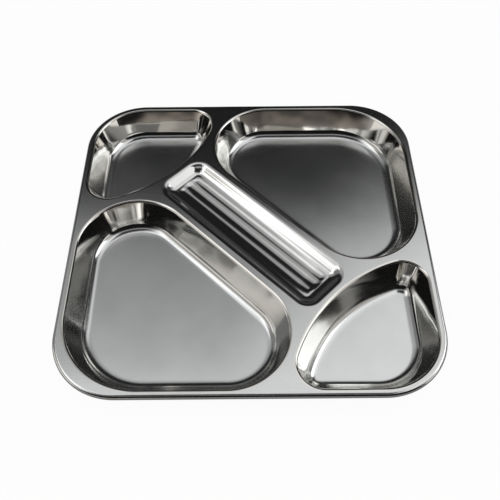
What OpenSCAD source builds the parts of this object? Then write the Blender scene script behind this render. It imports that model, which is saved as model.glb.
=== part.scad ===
// Divided serving tray pressed from one stainless sheet: a flat deck with a rolled rim,
// two large wells, two corner wells and a fluted cutlery trough along one diagonal.
// The origin is under the middle of the tray, on the plane that the well floors stand on.

/* [Tray] */
// Overall width and depth of the square tray, over the rolled rim
tray_w = 280; // [250:1:340]
// Thickness of the stainless sheet
gauge = 0.8; // [0.5:0.1:1.2]

/* [Rolled rim] */
// Outside radius of the roll
roll_r = 2.6; // [1.6:0.1:3.6]
// Angle that the sheet is rolled through
roll_turn = 270; // [190:5:290]

/* [Deck] */
// From the tray's edge to the start of the wells' lips
lip_margin = 4.3; // [3.5:0.1:12]
// Flat strip between the trough's long sides and the large wells
side_bridge = 3.4; // [1.5:0.1:10]
// Flat strip between the trough's ends and the corner wells
end_bridge = 2.2; // [1.5:0.1:8]
// Flat strip between a large well's tip and a corner well's tip
tip_bridge = 5.2; // [1.5:0.1:10]
// Flat border that belongs to each pressed form, outside its lip
flat_border = 0.5; // [0.3:0.1:0.7]

/* [Wells] */
// Depth of the well floors below the deck
well_depth = 23; // [16:0.5:32]
// Draft of the well walls, from vertical
well_draft = 24; // [10:1:32]
// Radius of the lip where deck turns into wall, on the show side
well_lip_r = 5; // [2:0.5:7]
// Radius where wall turns into floor, on the show side
well_floor_r = 6; // [2:0.5:8]

/* [Large wells] */
// Plan radius of the floor at the right-angled corner
large_corner_r = 42; // [26:1:60]
// Plan radius of the floor at the two tips
large_tip_r = 29; // [20:1:40]
// Plan radius of the floor's long side along the trough, which is nearly straight
large_bow_r = 5000; // [2000:500:9000]

/* [Corner wells] */
// Plan radius of the floor at the tray's corner
corner_well_r = 27; // [15:1:40]
// Plan radius of the floor at the two tips
corner_tip_r = 3; // [1:0.5:8]
// Length of the floor along the tray's diagonal, from the corner to the bowed side
corner_well_len = 52; // [46:0.5:62]

/* [Cutlery trough] */
// Width of the trough between the outsides of its lips
trough_w = 49; // [36:1:60]
// Depth of the trough's floor below the deck
trough_depth = 6.2; // [5:0.1:9]
// Draft of the trough's walls, from vertical
trough_draft = 45; // [35:1:50]
// Radius of the trough's lip, on the show side
trough_lip_r = 5.5; // [2:0.5:7]
// Radius where the trough's wall turns into its floor, on the show side
trough_floor_r = 8.5; // [3:0.5:10]
// Plan radius of the trough's floor corners
trough_corner_r = 1; // [1:0.5:6]

/* [Grooves] */
// Depth of a groove below the trough's floor
groove_depth = 0.4; // [0.2:0.1:1]
// Radius of a groove's bottom, on the show side
groove_bottom_r = 10; // [4:0.2:14]
// Radius of a groove's rounded edge, on the show side
groove_edge_r = 8.4; // [3:0.2:12]
// Flat land between neighbouring grooves
groove_land = 0.3; // [0.2:0.1:3]
// Flat land between a groove's end and the foot of the trough's end wall
groove_end_gap = 0.8; // [0.6:0.1:15]

/* [Hidden] */
$fn = 120;

deck_steel = "#8e8e8c";
well_steel = "#a9a9a6";
trough_steel = "#c9c9c6";

deck_z = well_depth + gauge;

// Plan positions are kept to whole microns, so that neighbouring stretches meet exactly
function micron(x) = round(x * 1000) / 1000;
function polar(centre, r, angle) = centre + r * [cos(angle), sin(angle)];
function arc_points(centre, r, from, to) = [for (k = [0 : 8]) polar(centre, r, from + (to - from) * k / 8)];

// The bend angle next to the one asked for whose cosine and sine are both whole millionths
function bend_angle(angle) =
    let (near = round(cos(angle) * 1e6))
    let (miss = [for (k = [0 : 400]) let (s = sqrt(1e12 - pow(near + k, 2))) abs(s - round(s))])
    acos((near + [for (k = [0 : 400]) if (miss[k] == min(miss)) k][0]) / 1e6);

// Straight length of a sloping wall between its two bends, and how far lip, wall and floor bend reach
function wall_len(depth, slope, bends) = (depth - bends * (1 - cos(slope))) / sin(slope);
function wall_run(depth, slope, bends) =
    micron(bends * sin(slope) + wall_len(depth, slope, bends) * cos(slope));

well_slope = bend_angle(90 - well_draft);
trough_slope = bend_angle(90 - trough_draft);
well_run = wall_run(well_depth, well_slope, well_lip_r + well_floor_r);
trough_run = wall_run(trough_depth, trough_slope, trough_lip_r + trough_floor_r);

// Straight sides of the well floors: along the tray's edges, and along the trough
edge_line = tray_w / 2 - lip_margin - well_run;
diagonal_line = trough_w / 2 + side_bridge + well_run;

// Large well: a right-angled triangle in plan with three rounded corners, whose long side is slightly
// bowed. Positions are distances from the tray's centre lines to the centres of the arcs.
large_corner_at = edge_line - large_corner_r;
large_tip_out = edge_line - large_tip_r;
large_half_span = sqrt(2) * large_tip_out - diagonal_line - large_tip_r;
large_bow_turn = round(100 * asin(large_half_span / (large_bow_r - large_tip_r))) / 100;
large_bow_rise = (large_bow_r - large_tip_r) * (1 - cos(large_bow_turn));
large_tip_in = micron(large_tip_out - sqrt(2) * (diagonal_line + large_tip_r + large_bow_rise));
large_side = large_corner_at + large_tip_in;
large_tip_turn = 135 - large_bow_turn;

// Corner well: two straight sides and a bowed side that faces the trough. Its tips keep their
// bridge to the large wells' tips, and the trough's end keeps its bridge to the bow.
corner_at = edge_line - corner_well_r;
corner_tip_out = edge_line - corner_tip_r;
tip_spacing = corner_tip_r + large_tip_r + 2 * well_run + tip_bridge;
corner_tip_in = micron(large_tip_in
    + sqrt(pow(tip_spacing, 2) - pow(corner_tip_out - large_tip_out, 2)));
corner_side = corner_at - corner_tip_in;
bow_apex = sqrt(2) * corner_at + corner_well_r - corner_well_len;
tip_along = (corner_tip_out + corner_tip_in) / sqrt(2) - bow_apex;
tip_across = (corner_tip_out - corner_tip_in) / sqrt(2);
bow_r = micron((pow(tip_across, 2) + pow(tip_along, 2) - pow(corner_tip_r, 2))
               / (2 * (tip_along - corner_tip_r)));
bow_at = (bow_apex + bow_r) / sqrt(2);
corner_tip_turn = round(100 * atan2(bow_at - corner_tip_in, corner_tip_out - bow_at)) / 100;

// Trough floor, lying along X before it is turned onto the diagonal. It fills the length that is
// left between the two corner wells.
trough_turn = -45;
trough_half_x = micron(bow_apex - well_run - end_bridge - trough_run);
trough_half_y = trough_w / 2 - trough_run;

// Outer edge of the flat deck, with its corners on the same centres as the corner wells'
deck_half = tray_w / 2 - roll_r;
deck_corner_r = deck_half - corner_at;

// Grooves: as many as the trough's floor takes side by side, with low ribs left between them
groove_turn = bend_angle(acos(1 - groove_depth / (groove_bottom_r + groove_edge_r)));
groove_half_w = micron((groove_bottom_r + groove_edge_r) * sin(groove_turn));
groove_pitch = 2 * groove_half_w + groove_land;
groove_count = floor(2 * (trough_half_y - groove_half_w) / groove_pitch) + 1;
groove_straight = 2 * (trough_half_x - groove_end_gap - groove_half_w);

// A form's floor is a slab that laps under the strip along the foot of its walls
well_lap = corner_tip_r / 2;
trough_lap = trough_corner_r / 2;
beyond = 3 * tray_w;

// Sweeps of a section whose X points outwards and whose Y points up
module turn_section(r, angle, start = 0) {
    rotate_extrude(angle = angle, start = start) translate([r, 0]) children();
}

module run_section(r, length) {
    translate([0, length, 0]) rotate([90, 0, 0]) linear_extrude(length) translate([r, 0]) children();
}

// Placed in whole, fine and remaining steps, so that a stretch meets its neighbour exactly
module set_at(place) {
    whole = [for (v = place) round(v)];
    fine = [for (v = place - whole) micron(v)];
    translate(whole) translate(fine) translate(place - whole - fine) children();
}

// Everything on the left of the X axis
module left_half() {
    translate([-beyond, 0, -beyond]) cube(2 * beyond);
}

// A bend of the sheet about the origin, in section, from straight up and clockwise
module bend(inner_r, angle) {
    reach = 3 * (inner_r + gauge);
    intersection() {
        difference() {
            circle(inner_r + gauge);
            circle(inner_r);
        }
        translate([0, -reach]) square([reach, 2 * reach]);
        rotate(-angle) translate([-reach, -reach]) square([reach, 2 * reach]);
    }
}

// Section of a pressed form, followed from its floor outwards: the floor's edge strip,
// the floor bend, the drafted wall, the lip and the flat border in the deck
module wall_section(depth, slope, lip_r, floor_r, lap) {
    length = wall_len(depth, slope, lip_r + floor_r);
    translate([-lap, -gauge]) square([lap, gauge]);
    translate([0, floor_r]) {
        mirror([0, 1]) bend(floor_r, slope);
        rotate(slope) translate([0, -floor_r - gauge]) {
            square([length, gauge]);
            translate([length, gauge - lip_r]) {
                bend(lip_r - gauge, slope);
                rotate(-slope) translate([0, lip_r - gauge]) square([flat_border, gauge]);
            }
        }
    }
}

// Half of a well's plan, up to its line of symmetry, with the rounded corner's centre at the origin.
// The section runs round the corner, along a straight side, round the tip, and along the bowed side.
module half_plan(corner_r, side, tip_r, tip_turn, bow_r, lap, low, high) {
    tip_at = [corner_r - tip_r, side];
    bow_at = polar(tip_at, tip_r - bow_r, tip_turn);
    bow_turn = round(1.3 * (135 - tip_turn) * 100) / 100;
    intersection() {
        union() {
            rotate(-90) turn_section(corner_r, 90) children();
            run_section(corner_r, side) children();
            translate(tip_at) turn_section(tip_r, tip_turn) children();
            set_at(bow_at) turn_section(bow_r, bow_turn, tip_turn) children();
            translate([0, 0, low]) linear_extrude(high - low) polygon(concat(
                arc_points([0, 0], corner_r - lap / 2, -60, 0),
                arc_points(tip_at, tip_r - lap / 2, 0, tip_turn),
                arc_points(bow_at, bow_r - lap / 2, tip_turn, tip_turn + bow_turn)));
        }
        rotate(-45) left_half();
    }
}

// Runs a section round a whole well plan, and fills the plan between the heights low and high
module large_plan(low, high) {
    translate([-large_corner_at, -large_corner_at, 0]) rotate(-90) for (flip = [0, 1])
        mirror([flip, flip, 0])
            half_plan(large_corner_r, large_side, large_tip_r, large_tip_turn, large_bow_r, well_lap, low, high)
                children();
}

module corner_plan(low, high) {
    translate([corner_at, -corner_at, 0]) for (flip = [0, 1])
        mirror([flip, flip, 0])
            half_plan(corner_well_r, corner_side, corner_tip_r, corner_tip_turn, bow_r, well_lap, low, high)
                children();
}

// Runs a section round a rounded rectangle
module box_plan(half_x, half_y, r) {
    for (k = [0 : 3]) {
        across = k % 2 == 0;
        straight = 2 * ((across ? half_x : half_y) - r);
        rotate(90 * k) translate([(across ? half_x : half_y) - r, (across ? half_y : half_x) - r, 0]) {
            turn_section(r, 90) children();
            rotate(90) run_section(r, straight) children();
        }
    }
}

module box_slab(half_x, half_y, r, inset, low, high) {
    translate([0, 0, low]) linear_extrude(high - low) polygon([
        for (k = [0 : 3], p = arc_points([0, 0], r - inset, 90 * k, 90 * k + 90))
            p + [(k == 0 || k == 3 ? 1 : -1) * (half_x - r), (k < 2 ? 1 : -1) * (half_y - r)]]);
}

// Block section that reaches from a form's floor strip to the outside of its flat border
module opening_section(run, lap, low, high) {
    translate([-lap, low]) square([lap + run + flat_border, high - low]);
}

module well_section() {
    wall_section(well_depth, well_slope, well_lip_r, well_floor_r, well_lap);
}

module large_well() {
    color(well_steel) translate([0, 0, gauge]) large_plan(-gauge, 0) well_section();
}

module corner_well() {
    color(well_steel) translate([0, 0, gauge]) corner_plan(-gauge, 0) well_section();
}

// Half of a groove in section, followed from its land inwards: land, rounded edge and bottom
module half_groove_section() {
    translate([0, -gauge]) mirror([0, 1]) intersection() {
        translate([groove_half_w, 0]) {
            translate([0, -gauge]) square([groove_land / 2, gauge]);
            translate([0, groove_edge_r - gauge]) {
                rotate(180) bend(groove_edge_r - gauge, groove_turn);
                rotate(-groove_turn) translate([0, -groove_edge_r - groove_bottom_r])
                    mirror([1, 0]) bend(groove_bottom_r, 90);
            }
        }
        translate([0, -beyond]) square(2 * beyond);
    }
}

// Runs half of a section round a groove's straight sides and half-round ends
module groove_plan() {
    for (end = [0, 180]) rotate(end) translate([groove_straight / 2, 0, 0]) rotate(-90) {
        turn_section(0, 180) children();
        translate([0, -groove_straight, 0]) run_section(0, groove_straight) children();
    }
}

module each_groove() {
    for (k = [0 : groove_count - 1])
        translate([0, (k - (groove_count - 1) / 2) * groove_pitch, 0]) children();
}

module cutlery_trough() {
    color(trough_steel) translate([0, 0, deck_z - trough_depth]) rotate(trough_turn) {
        box_plan(trough_half_x, trough_half_y, trough_corner_r)
            wall_section(trough_depth, trough_slope, trough_lip_r, trough_floor_r, trough_lap);
        difference() {
            box_slab(trough_half_x, trough_half_y, trough_corner_r, trough_lap / 2, -gauge, 0);
            each_groove() groove_plan()
                translate([0, -2 * gauge]) square([groove_half_w + groove_land / 4, 4 * gauge]);
        }
        each_groove() groove_plan() half_groove_section();
    }
}

// The flat web that is left between the pressed forms and the rim
module deck() {
    color(deck_steel) translate([0, 0, deck_z]) difference() {
        union() {
            box_plan(deck_half, deck_half, deck_corner_r) translate([-well_lap, -gauge]) square([well_lap, gauge]);
            box_slab(deck_half, deck_half, deck_corner_r, well_lap / 2, -gauge, 0);
        }
        for (turn = [0, 180]) rotate(turn) {
            large_plan(-2 * gauge, gauge) opening_section(well_run, well_lap, -2 * gauge, gauge);
            corner_plan(-2 * gauge, gauge) opening_section(well_run, well_lap, -2 * gauge, gauge);
        }
        rotate(trough_turn) {
            box_plan(trough_half_x, trough_half_y, trough_corner_r)
                opening_section(trough_run, trough_lap, -2 * gauge, gauge);
            box_slab(trough_half_x, trough_half_y, trough_corner_r, trough_lap / 2, -2 * gauge, gauge);
        }
    }
}

// The deck's edge, rolled outwards and under until its free end faces the deck's underside
module rolled_rim() {
    open_turn = 360 - roll_turn;
    reach = 2 * roll_r;
    color(deck_steel) translate([0, 0, deck_z]) box_plan(deck_half, deck_half, deck_corner_r)
        translate([0, -roll_r]) difference() {
            circle(roll_r);
            circle(roll_r - gauge);
            intersection() {
                translate([-reach, -reach]) square([reach, 2 * reach]);
                rotate(open_turn) translate([0, -reach]) square([reach, 2 * reach]);
            }
        }
}

deck();
rolled_rim();
large_well();  // large_well_front
rotate(180) large_well();  // large_well_rear
corner_well();  // corner_well_front
rotate(180) corner_well();  // corner_well_rear
cutlery_trough();
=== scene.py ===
import math
import bpy
from mathutils import Matrix, Vector


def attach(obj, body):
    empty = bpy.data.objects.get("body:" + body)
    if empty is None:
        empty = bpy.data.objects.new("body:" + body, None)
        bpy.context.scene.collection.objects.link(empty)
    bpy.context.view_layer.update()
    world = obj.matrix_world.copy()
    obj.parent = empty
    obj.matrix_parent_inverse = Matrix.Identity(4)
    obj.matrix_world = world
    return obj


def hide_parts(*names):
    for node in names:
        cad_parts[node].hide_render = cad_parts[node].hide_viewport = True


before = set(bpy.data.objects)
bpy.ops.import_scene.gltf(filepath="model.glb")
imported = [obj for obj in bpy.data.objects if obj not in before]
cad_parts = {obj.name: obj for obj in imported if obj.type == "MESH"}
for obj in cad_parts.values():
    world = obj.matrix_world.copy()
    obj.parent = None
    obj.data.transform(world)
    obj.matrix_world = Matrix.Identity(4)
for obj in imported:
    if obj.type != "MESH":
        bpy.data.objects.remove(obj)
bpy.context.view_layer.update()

# Camera: stands in front of the tray and looks down into the wells, turned a little on its axis.
# The lens and the place give the photograph's square frame.
sensor_width = 36.0
lens_length = 46.44
look_down = math.radians(55.316)
camera_roll = -0.0085
camera_place = (0.0006, -0.3036, 0.4326)
bpy.ops.object.camera_add()
camera = bpy.context.object
camera.name = "camera"
camera.data.sensor_width = sensor_width
camera.data.lens = lens_length
camera.matrix_world = (
    Matrix.Translation(camera_place)
    @ Matrix.Rotation(math.pi / 2 - look_down, 4, "X")
    @ Matrix.Rotation(camera_roll, 4, "Z")
)
bpy.context.scene.camera = camera

# Large wells: two deep triangular bowls with rounded corners, at the front left and at the rear right.
# They are drawn from the same 0.8 mm stainless sheet as the rest, so lip, wall and floor run into each other.
# The rear one is modelled by sweeping the sheet's section round its plan, and the front one is a turned copy.
mm = 0.001
gauge = 0.8 * mm
tray_half = 140 * mm
well_depth = 23 * mm
deck_top = well_depth + gauge
well_slope = math.radians(66)
well_lip_radius = 2.5 * mm
well_floor_radius = 8.5 * mm
well_bends = well_lip_radius + well_floor_radius
well_wall = (well_depth - well_bends * (1 - math.cos(well_slope))) / math.sin(well_slope)
well_run = well_bends * math.sin(well_slope) + well_wall * math.cos(well_slope)
floor_strip = 1.5 * mm
flat_border = 0.5 * mm
edge_land = 4.3 * mm
trough_land = 3.4 * mm
trough_half_width = 24.5 * mm
edge_line = tray_half - edge_land - well_run
trough_line = trough_half_width + trough_land + well_run
large_corner_radius = 42 * mm
large_tip_radius = 29 * mm
large_bow_radius = 5000 * mm
large_corner = edge_line - large_corner_radius
large_tip_out = edge_line - large_tip_radius
bend_steps = 14
corner_steps = 28
large_tip_steps = 40
large_bow_steps = 8
weld_gap = 0.002 * mm
crease_angle = math.radians(40)

# The long side's slight bow and the place of the tips hang on each other, so a few rounds settle both.
large_bow_turn = 0.60
for _ in range(8):
    large_bow_rise = (large_bow_radius - large_tip_radius) * (1 - math.cos(math.radians(large_bow_turn)))
    large_tip_in = large_tip_out - math.sqrt(2) * (trough_line + large_tip_radius + large_bow_rise)
    half_span = (large_tip_out + large_tip_in) / math.sqrt(2)
    large_bow_turn = math.degrees(math.asin(half_span / (large_bow_radius - large_tip_radius)))
large_side = large_corner + large_tip_in
large_tip_turn = 135 - large_bow_turn


def start_point(name, x, y, z):
    bpy.ops.object.select_all(action="DESELECT")
    bpy.ops.mesh.primitive_plane_add(size=mm, location=(x, y, z))
    piece = bpy.context.object
    piece.name = name
    bpy.ops.object.transform_apply(location=True, rotation=True, scale=True)
    bpy.ops.object.mode_set(mode="EDIT")
    bpy.ops.mesh.select_mode(type="VERT")
    bpy.ops.mesh.select_all(action="SELECT")
    bpy.ops.mesh.merge(type="CENTER")
    return piece


def run_by(x, y, z):
    bpy.ops.mesh.extrude_region_move(TRANSFORM_OT_translate={"value": (x, y, z)})


# The spin operator turns clockwise for a positive angle, so the angle is reversed here.
def turn_about(centre, axis, degrees, steps):
    bpy.ops.mesh.spin(steps=steps, angle=-math.radians(degrees), center=centre, axis=axis)


def press_section(x, y):
    degrees = math.degrees(well_slope)
    wall_x = well_wall * math.cos(well_slope)
    wall_z = well_wall * math.sin(well_slope)
    floor_x = x + floor_strip
    lip_x = floor_x + well_bends * math.sin(well_slope) + wall_x
    run_by(floor_strip, 0, 0)
    turn_about((floor_x, y, gauge + well_floor_radius), (0, 1, 0), -degrees, bend_steps)
    run_by(wall_x, 0, wall_z)
    turn_about((lip_x, y, deck_top - well_lip_radius), (0, 1, 0), degrees, bend_steps)
    run_by(flat_border, 0, 0)


def follow(plan):
    for step in plan:
        if step[0] == "run":
            run_by(step[1], step[2], 0)
        else:
            turn_about((step[1], step[2], 0), (0, 0, 1), step[3], step[4])


def around(centre, radius, degrees):
    angle = math.radians(degrees)
    return (centre[0] + radius * math.cos(angle), centre[1] + radius * math.sin(angle))


def merge_seams():
    bpy.ops.mesh.select_all(action="SELECT")
    bpy.ops.mesh.remove_doubles(threshold=weld_gap)
    bpy.ops.object.mode_set(mode="OBJECT")


def pick_open_edges(piece, low, high):
    uses = {}
    for face in piece.data.polygons:
        face.select = False
        for key in face.edge_keys:
            uses[key] = uses.get(key, 0) + 1
    for vertex in piece.data.vertices:
        vertex.select = False
    for edge in piece.data.edges:
        heights = [piece.data.vertices[v].co.z for v in edge.vertices]
        edge.select = uses.get(edge.key, 0) < 2 and low < min(heights) and max(heights) < high
    bpy.ops.object.mode_set(mode="EDIT")
    bpy.ops.mesh.select_mode(type="EDGE")


def thicken_sheet(piece):
    bpy.ops.object.mode_set(mode="EDIT")
    bpy.ops.mesh.select_all(action="SELECT")
    bpy.ops.mesh.normals_make_consistent(inside=False)
    bpy.ops.object.mode_set(mode="OBJECT")
    top = max(piece.data.polygons, key=lambda face: face.center.z)
    if top.normal.z < 0:
        piece.data.flip_normals()
    solidify = piece.modifiers.new("sheet", "SOLIDIFY")
    solidify.thickness = gauge
    solidify.offset = -1
    solidify.use_even_offset = True
    bpy.ops.object.modifier_apply(modifier="sheet")
    bpy.ops.object.shade_smooth_by_angle(angle=crease_angle)


def press_well(name, x, y, plan):
    well = start_point(name, x, y, gauge)
    press_section(x, y)
    bpy.ops.mesh.select_all(action="SELECT")
    follow(plan)
    merge_seams()
    pick_open_edges(well, -mm, well_depth / 2)
    bpy.ops.mesh.edge_face_add()
    bpy.ops.object.mode_set(mode="OBJECT")
    thicken_sheet(well)
    return well


def take(piece, *others):
    bpy.ops.object.select_all(action="DESELECT")
    for each in (piece, *others):
        each.select_set(True)
    bpy.context.view_layer.objects.active = piece


def turned_copy(piece, name):
    take(piece)
    bpy.ops.object.duplicate()
    copy = bpy.context.object
    copy.name = name
    copy.rotation_euler = (0, 0, math.pi)
    bpy.ops.object.transform_apply(location=True, rotation=True, scale=True)
    return copy


large_tip = (-large_tip_in, large_tip_out)
large_bow = around(large_tip, large_tip_radius - large_bow_radius, 90 + large_tip_turn)
large_plan = [
    ("turn", large_corner, large_corner, 90, corner_steps),
    ("run", -large_side, 0),
    ("turn", large_tip[0], large_tip[1], large_tip_turn, large_tip_steps),
    ("turn", large_bow[0], large_bow[1], 2 * large_bow_turn, large_bow_steps),
    ("turn", large_tip[1], large_tip[0], large_tip_turn, large_tip_steps),
    ("run", 0, large_side),
]
large_start = large_corner + large_corner_radius - floor_strip
large_well_rear = press_well("large_well_rear_sheet", large_start, large_corner, large_plan)
large_well_front = turned_copy(large_well_rear, "large_well_front_sheet")


def linear(hex_colour):
    parts = [int(hex_colour[i:i + 2], 16) / 255 for i in (1, 3, 5)]
    return [c / 12.92 if c <= 0.04045 else ((c + 0.055) / 1.055) ** 2.4 for c in parts] + [1.0]


# A number names a socket by its place: 6, 7 and output 2 are the colours of a Mix node.
def add_node(tree, kind, settings, links):
    node = tree.nodes.new(kind)
    for name, value in settings.items():
        if isinstance(name, int) or name in node.inputs:
            node.inputs[name].default_value = value
        else:
            setattr(node, name, value)
    for socket, source in links.items():
        tree.links.new(source, node.inputs[socket])
    return node


def start_steel(name, cloud_size, darker, paler):
    steel = bpy.data.materials.new(name)
    steel.use_nodes = True
    tree = steel.node_tree
    shader = tree.nodes["Principled BSDF"]
    shader.inputs["Metallic"].default_value = 1.0
    place = add_node(tree, "ShaderNodeTexCoord", {}, {}).outputs["Object"]
    clouds = add_node(tree, "ShaderNodeTexNoise", {"Scale": 1 / cloud_size, "Detail": 3.0}, {"Vector": place})
    tone = add_node(tree, "ShaderNodeValToRGB", {}, {"Fac": clouds.outputs["Fac"]})
    tone.color_ramp.elements[0].position = 0.3
    tone.color_ramp.elements[0].color = linear(darker)
    tone.color_ramp.elements[1].position = 0.7
    tone.color_ramp.elements[1].color = linear(paler)
    return steel, shader, place, clouds.outputs["Fac"], tone.outputs["Color"]


# Deep-drawn stainless steel: satin where the punch pressed the floor, ironed bright where the wall slid over
# the die. Cloudy tone, faint grain on the floor, draw marks and long soft waves in the wall, and a slight
# warm tint on the wall that is a painted warm reflection.
# The grain is really about 0.1 mm; it is drawn at 1.2 mm, as coarse as it needs to show at all.
grain_size = 1.2 * mm
draw_mark_width = 1.6 * mm
draw_mark_squeeze = 0.06
wave_size = 22 * mm
floor_roughness = 0.18
wall_roughness = 0.07
lip_roughness = 0.06
deep_drawn_steel, shader, place, clouds, tone = start_steel(
    "deep_drawn_stainless_steel", cloud_size=45 * mm, darker="#DADCDC", paler="#E6E7E7")
tree = deep_drawn_steel.node_tree
height = add_node(tree, "ShaderNodeSeparateXYZ", {}, {"Vector": place}).outputs["Z"]
zone = add_node(tree, "ShaderNodeMapRange", {"From Max": deck_top}, {"Value": height}).outputs["Result"]
on_wall = add_node(tree, "ShaderNodeMapRange", {"From Min": 0.05, "From Max": 0.3}, {"Value": zone})
on_wall = on_wall.outputs["Result"]
# Painted warm reflection: the wall zone is tinted slightly warm, standing in for the warm light the walls
# mirror.
painted_warm_reflection = add_node(tree, "ShaderNodeMix", {"data_type": "RGBA", "blend_type": "MULTIPLY", 7: linear("#FFFCF8")},
                {0: on_wall, 6: tone})
tree.links.new(painted_warm_reflection.outputs[2], shader.inputs["Base Color"])
finish = add_node(tree, "ShaderNodeValToRGB", {}, {"Fac": zone})
finish.color_ramp.elements[0].position = 0.05
finish.color_ramp.elements[1].position = 0.97
finish.color_ramp.elements.new(0.25)
for stop, level in zip(finish.color_ramp.elements, (floor_roughness, wall_roughness, lip_roughness)):
    stop.color = (level, level, level, 1)
gloss = add_node(tree, "ShaderNodeMapRange", {"To Min": 0.85, "To Max": 1.15}, {"Value": clouds})
rough = add_node(tree, "ShaderNodeMath", {"operation": "MULTIPLY"},
                 {0: finish.outputs["Color"], 1: gloss.outputs["Result"]})
tree.links.new(rough.outputs["Value"], shader.inputs["Roughness"])
grain = add_node(tree, "ShaderNodeTexNoise", {"Scale": 1 / grain_size, "Detail": 2.0}, {"Vector": place})
down = add_node(tree, "ShaderNodeMapping", {"Scale": (1, 1, draw_mark_squeeze)}, {"Vector": place})
marks = add_node(tree, "ShaderNodeTexNoise", {"Scale": 1 / draw_mark_width, "Detail": 2.0},
                 {"Vector": down.outputs["Vector"]})
relief = add_node(tree, "ShaderNodeMix", {"data_type": "FLOAT"},
                  {"Factor": on_wall, "A": grain.outputs["Fac"], "B": marks.outputs["Fac"]})
fine_bump = add_node(tree, "ShaderNodeBump", {"Strength": 0.006, "Distance": 0.2 * mm},
                     {"Height": relief.outputs["Result"]})
waves = add_node(tree, "ShaderNodeTexNoise", {"Scale": 1 / wave_size, "Detail": 1.0}, {"Vector": place})
bent = add_node(tree, "ShaderNodeMath", {"operation": "MULTIPLY"}, {0: waves.outputs["Fac"], 1: on_wall})
wave_bump = add_node(tree, "ShaderNodeBump", {"Strength": 0.4, "Distance": 0.6 * mm},
                     {"Height": bent.outputs[0], "Normal": fine_bump.outputs["Normal"]})
tree.links.new(wave_bump.outputs["Normal"], shader.inputs["Normal"])
for piece, node in ((large_well_rear, "large_well_rear"), (large_well_front, "large_well_front")):
    piece.data.materials.append(deep_drawn_steel)
    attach(piece, "root")
    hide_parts(node)

# Corner wells: two small bowls in the other corners, with a bowed side towards the trough.
# Same sheet and same section as the large wells, pressed in the same stroke.
corner_radius = 27 * mm
corner_tip_radius = 3 * mm
corner_length = 52 * mm
tip_land = 5.2 * mm
corner_tip_steps = 36
corner_bow_steps = 28
corner_at = edge_line - corner_radius
corner_tip_out = edge_line - corner_tip_radius
tip_spacing = corner_tip_radius + large_tip_radius + 2 * well_run + tip_land
corner_tip_in = large_tip_in + math.sqrt(tip_spacing ** 2 - (corner_tip_out - large_tip_out) ** 2)
corner_side = corner_at - corner_tip_in
bow_apex = math.sqrt(2) * corner_at + corner_radius - corner_length
tip_along = (corner_tip_out + corner_tip_in) / math.sqrt(2) - bow_apex
tip_across = (corner_tip_out - corner_tip_in) / math.sqrt(2)
corner_bow_radius = ((tip_across ** 2 + tip_along ** 2 - corner_tip_radius ** 2)
                     / (2 * (tip_along - corner_tip_radius)))
bow_at = (bow_apex + corner_bow_radius) / math.sqrt(2)
corner_tip_turn = math.degrees(math.atan2(bow_at - corner_tip_in, corner_tip_out - bow_at))
corner_plan = [
    ("run", 0, corner_side),
    ("turn", corner_tip_out, -corner_tip_in, corner_tip_turn, corner_tip_steps),
    ("turn", bow_at, -bow_at, 270 - 2 * corner_tip_turn, corner_bow_steps),
    ("turn", corner_tip_in, -corner_tip_out, corner_tip_turn, corner_tip_steps),
    ("run", corner_side, 0),
    ("turn", corner_at, -corner_at, 90, corner_steps),
]
corner_start = corner_at + corner_radius - floor_strip
corner_well_front = press_well("corner_well_front_sheet", corner_start, -corner_at, corner_plan)
corner_well_rear = turned_copy(corner_well_front, "corner_well_rear_sheet")
for piece, node in ((corner_well_front, "corner_well_front"), (corner_well_rear, "corner_well_rear")):
    piece.data.materials.append(deep_drawn_steel)
    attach(piece, "root")
    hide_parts(node)

# Cutlery trough: a shallow scoop along the diagonal, with three round-ended grooves pressed in its floor.
# It is part of the same sheet, polished brighter than the wells. It is modelled lying along X, its floor is
# dished by pulling the middle line down, and it is then turned to the diagonal.
diagonal = math.radians(-45)
trough_edge_slope = math.radians(11)
trough_wall_slope = math.radians(35)
trough_wall_radius = 17.5 * mm
trough_lip_radius = 8 * mm
trough_corner_radius = 2.5 * mm
trough_strip = 0.3 * mm
trough_end_land = 2.2 * mm
trough_wall_steps = 10
trough_lip_steps = 12
trough_corner_steps = 16
trough_hollow = trough_wall_radius * (math.sin(trough_wall_slope) - math.sin(trough_edge_slope))
trough_run = trough_hollow + trough_lip_radius * math.sin(trough_wall_slope)
trough_depth = (trough_wall_radius * (math.cos(trough_edge_slope) - math.cos(trough_wall_slope))
                + trough_lip_radius * (1 - math.cos(trough_wall_slope)))
trough_half_x = bow_apex - well_run - trough_end_land - trough_run
trough_half_y = trough_half_width - trough_run
trough_floor = deck_top - trough_depth
dish_end = trough_half_x - trough_half_y
dish_depth = trough_half_y * math.tan(trough_edge_slope) / 2


# The long sides are broken at plus and minus stop, where the dish's middle line ends.
def box_plan(half_x, half_y, radius, steps, stop):
    x = half_x - radius
    y = half_y - radius
    return [
        ("run", 0, 2 * y),
        ("turn", x, y, 90, steps),
        ("run", stop - x, 0),
        ("run", -2 * stop, 0),
        ("run", stop - x, 0),
        ("turn", -x, y, 90, steps),
        ("run", 0, -2 * y),
        ("turn", -x, -y, 90, steps),
        ("run", x - stop, 0),
        ("run", 2 * stop, 0),
        ("run", x - stop, 0),
        ("turn", x, -y, 90, steps),
    ]


trough_y = trough_corner_radius - trough_half_y
wall_centre = (trough_half_x - trough_wall_radius * math.sin(trough_edge_slope), trough_y,
               trough_floor + trough_wall_radius * math.cos(trough_edge_slope))
lip_centre = (trough_half_x + trough_run, trough_y, deck_top - trough_lip_radius)
trough = start_point("cutlery_trough_sheet", trough_half_x - trough_strip, trough_y, trough_floor)
run_by(trough_strip, 0, 0)
turn_about(wall_centre, (0, 1, 0), -math.degrees(trough_wall_slope - trough_edge_slope), trough_wall_steps)
turn_about(lip_centre, (0, 1, 0), math.degrees(trough_wall_slope), trough_lip_steps)
run_by(flat_border, 0, 0)
bpy.ops.mesh.select_all(action="SELECT")
follow(box_plan(trough_half_x, trough_half_y, trough_corner_radius, trough_corner_steps, dish_end))
merge_seams()

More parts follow.
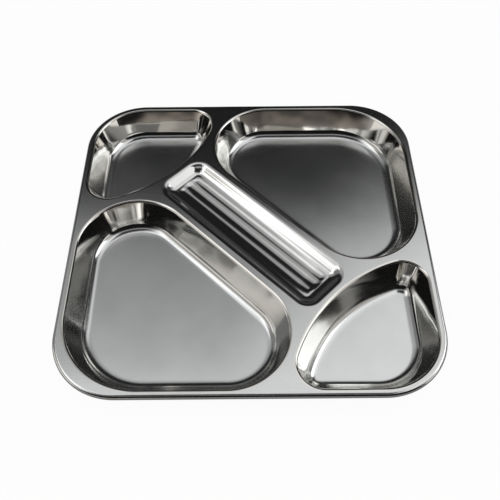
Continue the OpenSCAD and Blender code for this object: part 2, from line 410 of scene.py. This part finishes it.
groove_depth = 0.3 * mm
groove_bottom_radius = 14.3 * mm
groove_edge_radius = 11.7 * mm
groove_land = 0.3 * mm
groove_end_gap = 0.8 * mm
groove_bottom_steps = 8
groove_edge_steps = 6
groove_end_steps = 12
groove_turn = math.acos(1 - groove_depth / (groove_bottom_radius + groove_edge_radius))
groove_half_width = (groove_bottom_radius + groove_edge_radius) * math.sin(groove_turn)
groove_pitch = 2 * groove_half_width + groove_land
groove_reach = trough_half_x - groove_end_gap - groove_half_width
groove_bottom = trough_floor - groove_depth
groove = start_point("groove", groove_reach, 0, groove_bottom)
turn_about((groove_reach, 0, groove_bottom + groove_bottom_radius), (0, 1, 0),
           -math.degrees(groove_turn), groove_bottom_steps)
turn_about((groove_reach + groove_half_width, 0, trough_floor - groove_edge_radius), (0, 1, 0),
           math.degrees(groove_turn), groove_edge_steps)
run_by(groove_land / 4, 0, 0)
bpy.ops.mesh.select_all(action="SELECT")
follow([
    ("turn", groove_reach, 0, 90, groove_end_steps),
    ("run", dish_end - groove_reach, 0),
    ("run", -2 * dish_end, 0),
    ("run", dish_end - groove_reach, 0),
    ("turn", -groove_reach, 0, 180, 2 * groove_end_steps),
    ("run", groove_reach - dish_end, 0),
    ("run", 2 * dish_end, 0),
    ("run", groove_reach - dish_end, 0),
    ("turn", groove_reach, 0, 90, groove_end_steps),
])
merge_seams()
for shift in (-groove_pitch, groove_pitch):
    take(groove)
    bpy.ops.object.duplicate()
    side_groove = bpy.context.object
    side_groove.location = (0, shift, 0)
    bpy.ops.object.transform_apply(location=True, rotation=True, scale=True)
    take(trough, side_groove)
    bpy.ops.object.join()
take(trough, groove)
bpy.ops.object.join()
floor_slack = 0.1 * mm
line_slack = 0.01 * mm
pick_open_edges(trough, trough_floor - floor_slack, trough_floor + floor_slack)
bpy.ops.mesh.fill(use_beauty=True)
bpy.ops.mesh.select_all(action="DESELECT")
bpy.ops.object.mode_set(mode="OBJECT")
for vertex in trough.data.vertices:
    vertex.select = abs(vertex.co.y) < line_slack and abs(vertex.co.x) < dish_end + line_slack
bpy.ops.object.mode_set(mode="EDIT")
bpy.ops.mesh.select_mode(type="VERT")
bpy.ops.transform.translate(value=(0, 0, -dish_depth), use_proportional_edit=True,
                            proportional_edit_falloff="INVERSE_SQUARE", proportional_size=trough_half_y)
bpy.ops.object.mode_set(mode="OBJECT")
trough.rotation_euler = (0, 0, diagonal)
bpy.ops.object.transform_apply(location=True, rotation=True, scale=True)
thicken_sheet(trough)

# Polished stainless steel: buffed along the trough, so it mirrors the room in sharp light and dark stripes.
# Faint buffing lines run lengthways. They are really hair-fine; they are drawn 0.8 mm wide so that they show.
buffing_line_width = 0.8 * mm
line_squeeze = 0.03
polished_steel, shader, place, _, tone = start_steel(
    "polished_stainless_steel", cloud_size=30 * mm, darker="#E2E2E1", paler="#EDEDEC")
tree = polished_steel.node_tree
tree.links.new(tone, shader.inputs["Base Color"])
along = add_node(tree, "ShaderNodeMapping", {"Rotation": (0, 0, -diagonal)}, {"Vector": place})
drawn = add_node(tree, "ShaderNodeMapping", {"Scale": (line_squeeze, 1, 1)},
                 {"Vector": along.outputs["Vector"]})
lines = add_node(tree, "ShaderNodeTexNoise", {"Scale": 1 / buffing_line_width, "Detail": 2.0},
                 {"Vector": drawn.outputs["Vector"]}).outputs["Fac"]
rough = add_node(tree, "ShaderNodeMapRange", {"To Min": 0.07, "To Max": 0.13}, {"Value": lines})
tree.links.new(rough.outputs["Result"], shader.inputs["Roughness"])
bump = add_node(tree, "ShaderNodeBump", {"Strength": 0.04, "Distance": 0.2 * mm}, {"Height": lines})
tree.links.new(bump.outputs["Normal"], shader.inputs["Normal"])
trough.data.materials.append(polished_steel)
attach(trough, "root")
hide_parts("cutlery_trough")

# Deck: the flat web of sheet that is left round the pressed wells and the trough.
# Its openings follow the outsides of their lips, so sheet meets sheet without a step.
roll_radius = 2.6 * mm
deck_half = tray_half - roll_radius
deck_corner_radius = deck_half - corner_at
deck_plan = box_plan(deck_half, deck_half, deck_corner_radius, corner_steps, 0)
lip_reach = well_run + flat_border
trough_reach = trough_half_x + trough_run + flat_border
below = deck_top - 2 * gauge
above = deck_top + gauge


def cut_blank(name, x, y, plan, bottom, top):
    blank = start_point(name, x, y, bottom)
    follow(plan)
    bpy.ops.mesh.select_all(action="SELECT")
    bpy.ops.mesh.remove_doubles(threshold=weld_gap)
    bpy.ops.mesh.edge_face_add()
    run_by(0, 0, top - bottom)
    bpy.ops.mesh.select_all(action="SELECT")
    bpy.ops.mesh.normals_make_consistent(inside=False)
    bpy.ops.object.mode_set(mode="OBJECT")
    return blank


deck = cut_blank("deck_sheet", deck_half, deck_corner_radius - deck_half, deck_plan,
                 deck_top - gauge, deck_top)
large_opening = (large_corner + large_corner_radius + lip_reach, large_corner, large_plan)
corner_opening = (corner_at + corner_radius + lip_reach, -corner_at, corner_plan)
trough_opening = (trough_reach, trough_y,
                  box_plan(trough_half_x, trough_half_y, trough_corner_radius, trough_corner_steps, 0))
for opening, turn in ((large_opening, 0), (corner_opening, 0), (large_opening, math.pi),
                      (corner_opening, math.pi), (trough_opening, diagonal)):
    punch = cut_blank("punch", *opening, below, above)
    take(punch)
    punch.rotation_euler = (0, 0, turn)
    bpy.ops.object.transform_apply(location=True, rotation=True, scale=True)
    take(deck)
    cut = deck.modifiers.new("opening", "BOOLEAN")
    cut.operation = "DIFFERENCE"
    cut.solver = "EXACT"
    cut.object = punch
    bpy.ops.object.modifier_apply(modifier="opening")
    bpy.data.objects.remove(punch)
bpy.ops.object.shade_smooth_by_angle(angle=crease_angle)

# Bright-rolled stainless sheet: the flat web keeps the mill's smooth rolled face, a soft mirror with fine
# lines in the rolling direction. They are really under 0.1 mm; they are drawn 1 mm wide so that they show.
rolling_line_width = 1.0 * mm
rolled_steel, shader, place, _, tone = start_steel(
    "bright_rolled_stainless_steel", cloud_size=60 * mm, darker="#DADBDB", paler="#E4E5E5")
tree = rolled_steel.node_tree
tree.links.new(tone, shader.inputs["Base Color"])
drawn = add_node(tree, "ShaderNodeMapping", {"Scale": (line_squeeze, 1, 1)}, {"Vector": place})
lines = add_node(tree, "ShaderNodeTexNoise", {"Scale": 1 / rolling_line_width, "Detail": 2.0},
                 {"Vector": drawn.outputs["Vector"]}).outputs["Fac"]
rough = add_node(tree, "ShaderNodeMapRange", {"To Min": 0.11, "To Max": 0.17}, {"Value": lines})
tree.links.new(rough.outputs["Result"], shader.inputs["Roughness"])
bump = add_node(tree, "ShaderNodeBump", {"Strength": 0.03, "Distance": 0.2 * mm}, {"Height": lines})
tree.links.new(bump.outputs["Normal"], shader.inputs["Normal"])
deck.data.materials.append(rolled_steel)
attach(deck, "root")
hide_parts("deck")

# Rolled rim: the edge of the sheet, rolled outwards and under into a stiff bead that is safe to hold.
# The roll stops three quarters of the way round, so its cut edge faces the deck from below.
roll_turn = 270
roll_steps = 36
rim = start_point("rolled_rim_sheet", deck_half, deck_corner_radius - deck_half, deck_top)
roll_centre = (deck_half, deck_corner_radius - deck_half, deck_top - roll_radius)
turn_about(roll_centre, (0, 1, 0), roll_turn, roll_steps)
bpy.ops.mesh.select_all(action="SELECT")
follow(deck_plan)
merge_seams()
thicken_sheet(rim)
rim.data.materials.append(rolled_steel)
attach(rim, "root")
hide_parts("rolled_rim")

# Studio floor: a plain white table top of matt laminate that the tray stands on.
# It shows as white to the eye and in the steel, and keeps a faint shadow.
table_size = 6
table_gap = 0.2 * mm
bpy.ops.object.select_all(action="DESELECT")
bpy.ops.mesh.primitive_plane_add(size=table_size, location=(0, 0, -table_gap))
floor = bpy.context.object
floor.name = "floor"


def seen_directly(tree):
    path = add_node(tree, "ShaderNodeLightPath", {}, {})
    seen = add_node(tree, "ShaderNodeMath", {"operation": "ADD"},
                    {0: path.outputs["Is Camera Ray"], 1: path.outputs["Is Glossy Ray"]})
    seen = add_node(tree, "ShaderNodeMath", {"operation": "ADD"},
                    {0: seen.outputs[0], 1: path.outputs["Is Transmission Ray"]})
    return seen.outputs[0]


floor_white = bpy.data.materials.new("white_table_laminate")
floor_white.use_nodes = True
tree = floor_white.node_tree
shader = tree.nodes["Principled BSDF"]
shader.inputs["Base Color"].default_value = linear("#F6F6F5")
shader.inputs["Roughness"].default_value = 0.8
share = add_node(tree, "ShaderNodeMapRange", {"To Max": 0.95}, {"Value": seen_directly(tree)})
white = add_node(tree, "ShaderNodeEmission", {"Strength": 1.0}, {})
mixed = add_node(tree, "ShaderNodeMixShader", {},
                 {0: share.outputs["Result"], 1: shader.outputs[0], 2: white.outputs[0]})
tree.links.new(mixed.outputs[0], tree.nodes["Material Output"].inputs["Surface"])
floor.data.materials.append(floor_white)

# Rear card: a tall glowing card behind the tray, its glow painted light, nearly black to half its height,
# grey above that and palest at the upper right. Deck, floors and trough mirror it, which gives the steel its
# depth.
# Only mirrored rays meet the studio's cards, so they neither show nor shade anything.
card_height = 2.4
rear_left = (-1.25, 0.9)
rear_right = (1.6, 0.9)
rear_greys = ((0, "#3F3F3F"), (0.30, "#3F3F3F"), (0.48, "#1F1F1F"), (1.03, "#1F1F1F"), (1.16, "#555555"),
              (1.30, "#A0A0A0"), (1.45, "#979797"), (1.65, "#A4A4A4"), (card_height, "#BFBFBF"))


def stand_card(name, start, end, foot, top):
    bpy.ops.object.select_all(action="DESELECT")
    bpy.ops.mesh.primitive_plane_add(size=1)
    card = bpy.context.object
    card.name = name
    span = Vector(end) - Vector(start)
    card.rotation_euler = (math.pi / 2, 0, math.atan2(span.y, span.x))
    card.scale = (span.length, top - foot, 1)
    card.location = ((start[0] + end[0]) / 2, (start[1] + end[1]) / 2, (foot + top) / 2)
    bpy.ops.object.transform_apply(location=True, rotation=True, scale=True)
    card.visible_camera = False
    card.visible_diffuse = False
    card.visible_shadow = False
    return card


# A card only glows: its colour is painted light that shows in the steel's reflections, not paper lit by the
# lamps.
def start_glow(name):
    glow_material = bpy.data.materials.new(name)
    glow_material.use_nodes = True
    tree = glow_material.node_tree
    tree.nodes.remove(tree.nodes["Principled BSDF"])
    glow = add_node(tree, "ShaderNodeEmission", {"Strength": 1.0}, {})
    tree.links.new(glow.outputs[0], tree.nodes["Material Output"].inputs["Surface"])
    return glow_material, tree, glow.inputs


def spot_on(tree):
    place = add_node(tree, "ShaderNodeTexCoord", {}, {}).outputs["Object"]
    return add_node(tree, "ShaderNodeSeparateXYZ", {}, {"Vector": place}).outputs


def grade_upwards(tree, height, greys):
    rise = add_node(tree, "ShaderNodeMapRange", {"From Max": card_height}, {"Value": height})
    grade = add_node(tree, "ShaderNodeValToRGB", {}, {"Fac": rise.outputs["Result"]})
    grade.color_ramp.elements[0].color = linear(greys[0][1])
    grade.color_ramp.elements[1].color = linear(greys[-1][1])
    for at, colour in greys[1:-1]:
        stop = grade.color_ramp.elements.new(at / card_height)
        stop.color = linear(colour)
    return grade.outputs["Color"]


graded_card = stand_card("graded_card", rear_left, rear_right, 0, card_height)
graded_glow, tree, glow = start_glow("graded_glow")
spot = spot_on(tree)
grade = grade_upwards(tree, spot["Z"], rear_greys)
high = add_node(tree, "ShaderNodeMapRange", {"From Min": 0.8, "From Max": 1.25, "To Min": 0.1},
                {"Value": spot["Z"]})
left = add_node(tree, "ShaderNodeMapRange", {"From Min": -0.12, "From Max": -0.6, "To Max": 0.2},
                {"Value": spot["X"]})
lift = add_node(tree, "ShaderNodeMath", {"operation": "MULTIPLY"},
                {0: left.outputs["Result"], 1: high.outputs["Result"]})
lifted = add_node(tree, "ShaderNodeMix", {"data_type": "RGBA", 7: linear("#ADADAD")},
                  {0: lift.outputs[0], 6: grade})
lean = add_node(tree, "ShaderNodeMath", {"operation": "MULTIPLY_ADD", 1: 0.4}, {0: spot["Z"], 2: spot["X"]})
right = add_node(tree, "ShaderNodeMapRange", {"From Min": 0.65, "From Max": 1.25}, {"Value": lean.outputs[0]})
near = add_node(tree, "ShaderNodeMapRange", {"From Min": 1.0, "From Max": 0.7}, {"Value": spot["X"]})
share = add_node(tree, "ShaderNodeMath", {"operation": "MULTIPLY"},
                 {0: right.outputs["Result"], 1: high.outputs["Result"]})
share = add_node(tree, "ShaderNodeMath", {"operation": "MULTIPLY"},
                 {0: share.outputs[0], 1: near.outputs["Result"]})
paled = add_node(tree, "ShaderNodeMix", {"data_type": "RGBA", 7: linear("#F1F1F1")},
                 {0: share.outputs[0], 6: lifted.outputs[2]})
tree.links.new(paled.outputs[2], glow["Color"])
graded_card.data.materials.append(graded_glow)

# Front card: a glowing card behind the camera, its glow painted black, fading to white on the far left, with
# a warm strip along its foot and a grey head. It makes the dark lines in the walls and on the near side of
# the trough.
front_line = -0.9
front_left = -2.0
front_right = 1.5
front_height = 2.6
dark_card = stand_card("dark_card", (front_left, front_line), (front_right, front_line), 0, front_height)
black_fading_glow, tree, glow = start_glow("black_fading_glow")
spot = spot_on(tree)
out = add_node(tree, "ShaderNodeMapRange", {"From Max": front_left}, {"Value": spot["X"]})
fade = add_node(tree, "ShaderNodeValToRGB", {}, {"Fac": out.outputs["Result"]})
fade.color_ramp.elements[0].position = 0.36
fade.color_ramp.elements[0].color = linear("#161616")
fade.color_ramp.elements[1].color = linear("#E7E7E7")
stop = fade.color_ramp.elements.new(0.52)
stop.color = linear("#616161")
foot = add_node(tree, "ShaderNodeMapRange", {"From Min": 0.17, "From Max": 0.09}, {"Value": spot["Z"]})
along = add_node(tree, "ShaderNodeMapRange", {"From Min": 0.25, "From Max": -0.2, "To Min": 0.35},
                 {"Value": spot["X"]})
strip = add_node(tree, "ShaderNodeMath", {"operation": "MULTIPLY"},
                 {0: foot.outputs["Result"], 1: along.outputs["Result"]})
warmed = add_node(tree, "ShaderNodeMix", {"data_type": "RGBA", 7: linear("#BFB5AA")},
                  {0: strip.outputs[0], 6: fade.outputs["Color"]})
head = add_node(tree, "ShaderNodeMapRange", {"From Min": 1.45, "From Max": 1.8}, {"Value": spot["Z"]})
paled = add_node(tree, "ShaderNodeMix", {"data_type": "RGBA", 7: linear("#9E9E9E")},
                 {0: head.outputs["Result"], 6: warmed.outputs[2]})
tree.links.new(paled.outputs[2], glow["Color"])
dark_card.data.materials.append(black_fading_glow)

# Side cards: glowing cards on either side of the camera, their glow painted warm white, with a greyer band
# across it.
# The bowed and slanting walls mirror them.
side_line = 1.52
left_back = 0.28
right_back = -0.32
side_greys = ((0, "#F9F5EF"), (0.54, "#F6F1EC"), (0.74, "#A29F9B"), (1.05, "#A29F9B"), (1.2, "#CBC8C3"),
              (1.6, "#CBC8C3"), (1.9, "#BBB8B4"), (card_height, "#BCBCBC"))
banded_glow, tree, glow = start_glow("banded_glow")
tree.links.new(grade_upwards(tree, spot_on(tree)["Z"], side_greys), glow["Color"])
for side, back in ((-side_line, left_back), (side_line, right_back)):
    side_card = stand_card("side_card", (side, back), (side, front_line), 0, card_height)
    side_card.data.materials.append(banded_glow)

# Low cards: glowing cards, their glow painted dark grey, that close the rear corners and lie on the table
# round the tray.
# It darkens the foot of the right-hand walls and the outer edge of the rim.
low_height = 0.6
corner_height = 2.0
table_card_half = 0.7
table_card_lift = 0.4 * mm
low_card = stand_card("low_card", (side_line, right_back), rear_right, 0, low_height)
corner_card = stand_card("corner_card", rear_left, (-side_line, left_back), 0, corner_height)


def lay_card(name, left, right, half_depth, height):
    card = stand_card(name, (left, 0), (right, 0), 0, 2 * half_depth)
    card.rotation_euler = (math.pi / 2, 0, 0)
    card.location = (0, half_depth, height)
    bpy.ops.object.transform_apply(location=True, rotation=True, scale=True)
    return card


table_card = lay_card("table_card", -table_card_half, table_card_half, table_card_half, table_card_lift)
grey_glow, tree, glow = start_glow("grey_glow")
glow["Color"].default_value = linear("#818181")
for card in (low_card, corner_card, table_card):
    card.data.materials.append(grey_glow)

# Ceiling card: a glowing card hung flat over the tray, its glow painted black above the camera and pale
# towards the rear.
# The trough's grooves and the upper ends of the walls mirror it.
ceiling_left = -1.25
ceiling_right = 0.9
ceiling_half_depth = 0.9
ceiling_height = 2.6
ceiling_card = lay_card("ceiling_card", ceiling_left, ceiling_right, ceiling_half_depth, ceiling_height)
ceiling_glow, tree, glow = start_glow("ceiling_glow")
rearward = add_node(tree, "ShaderNodeMapRange",
                    {"From Min": 0.2, "From Max": 0.55, "To Min": 0.02, "To Max": 0.72},
                    {"Value": spot_on(tree)["Y"]})
tree.links.new(rearward.outputs["Result"], glow["Strength"])
ceiling_card.data.materials.append(ceiling_glow)

# Studio light: a softbox on either side, a third one high up at the left, and a white room all round.
# The room lights the table less than it shows, so that the shadow stays.
softbox_depth = 1.1
softbox_watts_per_metre = 2.8
for side, back, up, tall in ((-1.5, -0.35, 1.95, 0.8), (1.5, 0.25, 1.08, 0.95)):
    bpy.ops.object.light_add(type="AREA", location=(side, back, up))
    softbox = bpy.context.object
    softbox.name = "softbox"
    softbox.rotation_euler = (0, math.copysign(math.pi / 2, side), 0)
    softbox.data.shape = "RECTANGLE"
    softbox.data.size = tall
    softbox.data.size_y = softbox_depth
    softbox.data.energy = softbox_watts_per_metre * tall
top_place = (-1.03, 0.28, 2.2)
top_size = 0.9
top_watts = 1.5
bpy.ops.object.light_add(type="AREA", location=top_place)
top_softbox = bpy.context.object
top_softbox.name = "top_softbox"
top_softbox.rotation_euler = Vector(top_place).to_track_quat("Z", "Y").to_euler()
top_softbox.data.shape = "SQUARE"
top_softbox.data.size = top_size
top_softbox.data.energy = top_watts
room = bpy.data.worlds.new("white_room")
bpy.context.scene.world = room
room.use_nodes = True
tree = room.node_tree
share = add_node(tree, "ShaderNodeMapRange", {"To Min": 0.7, "To Max": 1.0}, {"Value": seen_directly(tree)})
tree.nodes["Background"].inputs["Color"].default_value = linear("#FFFFFF")
tree.links.new(share.outputs["Result"], tree.nodes["Background"].inputs["Strength"])
bpy.context.scene.view_settings.view_transform = "Standard"
